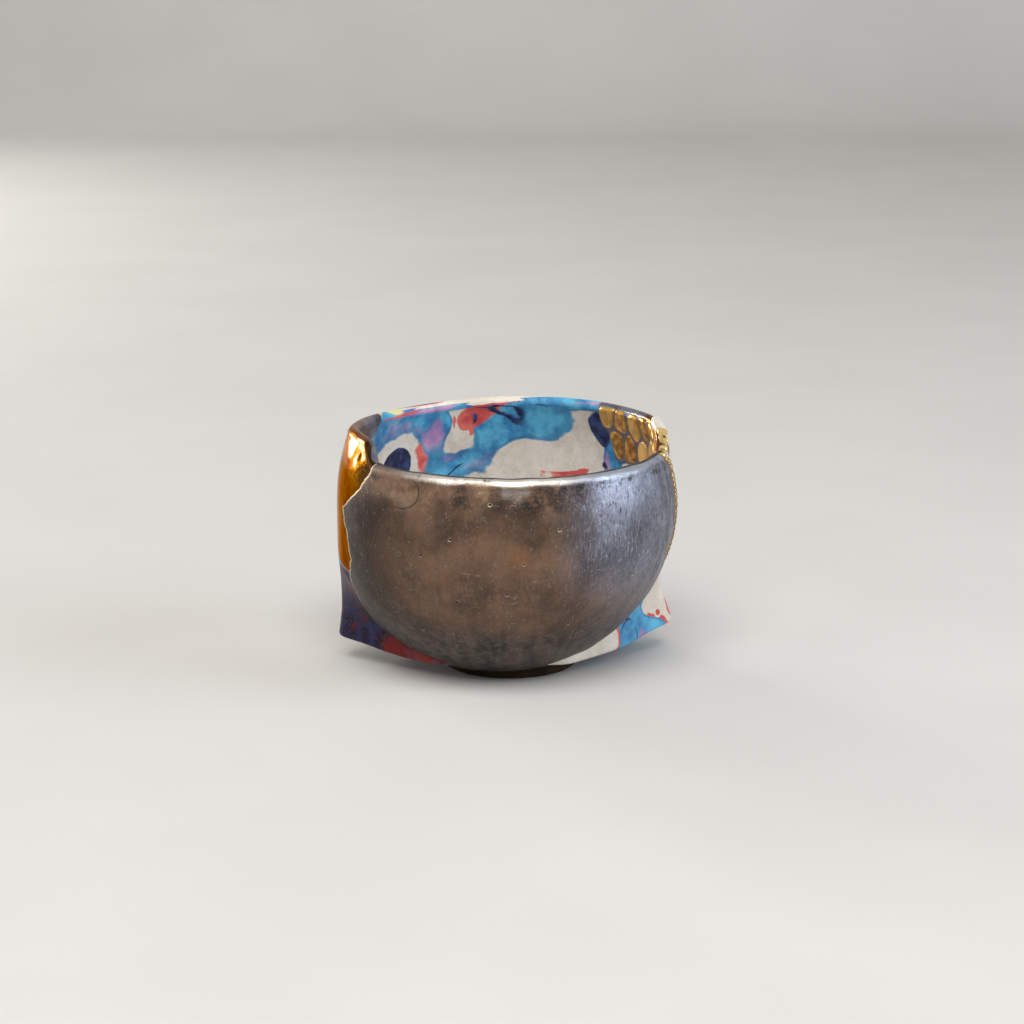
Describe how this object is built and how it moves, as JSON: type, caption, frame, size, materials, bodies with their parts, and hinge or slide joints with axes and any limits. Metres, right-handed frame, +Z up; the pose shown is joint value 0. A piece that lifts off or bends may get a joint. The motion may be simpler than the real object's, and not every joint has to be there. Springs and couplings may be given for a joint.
{
  "type": "sake cup",
  "caption": "Small hand-built ceramic cup: round bowl with pinched lower corners, a stepped rim, a raised lustred front and a foot ring.",
  "frame": {"origin": "under the middle of the cup, on the surface that the foot ring stands on", "axes": "+Z up out of the mouth, -Y towards the raised lustred front, +X to the viewer's right"},
  "size_m": [0.0696, 0.0699, 0.0497],
  "materials": {
    "painted_glaze": "satin glaze with painted colours, a bronze lustre on the front and glossy gold lustre at the corners"
  },
  "bodies": {
    "root": {"sake_cup": "painted_glaze"}
  },
  "joints": []
}
